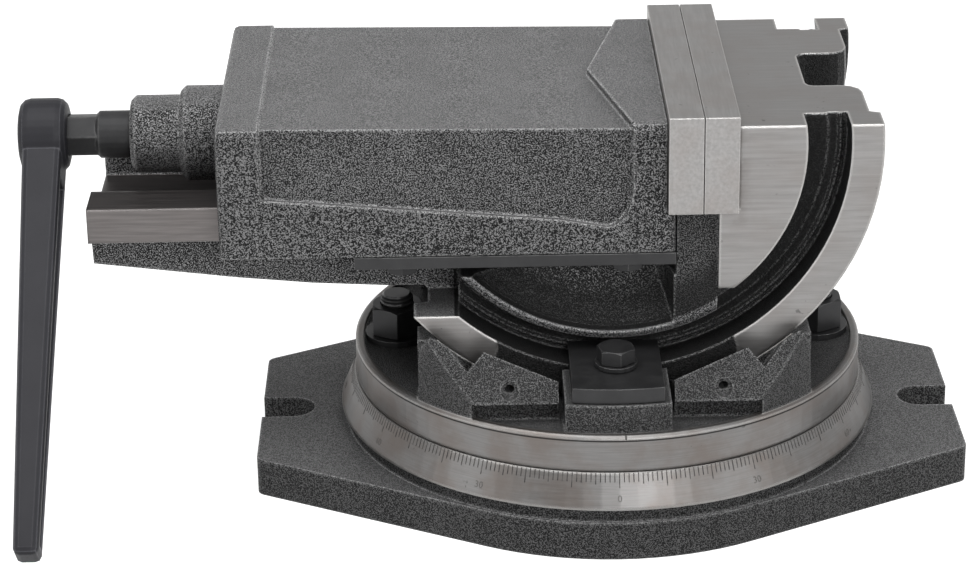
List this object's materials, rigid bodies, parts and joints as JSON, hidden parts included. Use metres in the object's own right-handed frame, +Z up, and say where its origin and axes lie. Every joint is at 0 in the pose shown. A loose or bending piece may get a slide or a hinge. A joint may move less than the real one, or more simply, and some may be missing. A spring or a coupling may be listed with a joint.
{
  "type": "tilting machine vise",
  "caption": "Two-way tilting machine vise: round swivel base with degree scale, arc cradle, tilting body, sliding jaw, lead screw and crank handle.",
  "frame": {"origin": "swivel axis of the base at its underside", "axes": "+Z up along the swivel axis, +X towards the fixed jaw, -X towards the crank, -Y the pictured front"},
  "size_m": [0.3409, 0.2204, 0.1495],
  "materials": {
    "hammertone_paint": "hammertone",
    "ground_steel": "ground",
    "black_oxide_steel": "black oxide",
    "handle_iron": "satin",
    "screw_steel": "dark steel",
    "nut_bronze": "machined"
  },
  "bodies": {
    "base": {"base_plate": "hammertone_paint", "pivot_pin": "black_oxide_steel"},
    "table": {"swivel_table": "hammertone_paint", "swivel_bolt_left": "black_oxide_steel", "swivel_bolt_right": "black_oxide_steel", "swivel_washer_left": "black_oxide_steel", "swivel_washer_right": "black_oxide_steel", "swivel_nut_left": "black_oxide_steel", "swivel_nut_right": "black_oxide_steel", "tilt_clamp_front": "black_oxide_steel", "tilt_clamp_rear": "black_oxide_steel", "tilt_washer_front": "black_oxide_steel", "tilt_washer_rear": "black_oxide_steel", "tilt_bolt_front": "black_oxide_steel", "tilt_bolt_rear": "black_oxide_steel"},
    "body": {"tilt_body": "hammertone_paint", "screw_nut": "nut_bronze", "nut_screw_1": "black_oxide_steel", "nut_screw_2": "black_oxide_steel", "fixed_jaw_plate": "ground_steel", "fixed_plate_screw_1": "black_oxide_steel", "fixed_plate_screw_2": "black_oxide_steel"},
    "jaw": {"movable_jaw": "hammertone_paint", "movable_jaw_plate": "ground_steel", "movable_plate_screw_1": "black_oxide_steel", "movable_plate_screw_2": "black_oxide_steel", "gib_strip_front": "black_oxide_steel", "gib_strip_rear": "black_oxide_steel", "gib_bolt_1": "black_oxide_steel", "gib_bolt_2": "black_oxide_steel", "gib_bolt_3": "black_oxide_steel", "gib_bolt_4": "black_oxide_steel"},
    "spindle": {"lead_screw": "screw_steel", "thrust_collar": "black_oxide_steel", "collar_pin": "black_oxide_steel"},
    "crank": {"crank_handle": "handle_iron"}
  },
  "joints": [
    {"name": "swivel", "type": "hinge", "parent": "base", "child": "table", "pos_m": [0, 0, 0.0313], "axis": [0, 0, 1], "continuous": true},
    {"name": "tilt", "type": "hinge", "parent": "table", "child": "body", "pos_m": [0, 0, 0.1361], "axis": [0, 1, 0], "range_deg": [0, 90]},
    {"name": "jaw_slide", "type": "slide", "parent": "body", "child": "jaw", "axis": [-1, 0, 0], "range_m": [0, 0.1]},
    {"name": "screw_turn", "type": "hinge", "parent": "jaw", "child": "spindle", "pos_m": [-0.184, 0, 0.1245], "axis": [1, 0, 0], "range_deg": [0, 9000]},
    {"name": "crank_pull", "type": "slide", "parent": "spindle", "child": "crank", "axis": [-1, 0, 0], "range_m": [0, 0.03]}
  ],
  "couplings": [
    {"joint": "screw_turn", "follows": "jaw_slide", "rad_per_m": 1570.8}
  ]
}
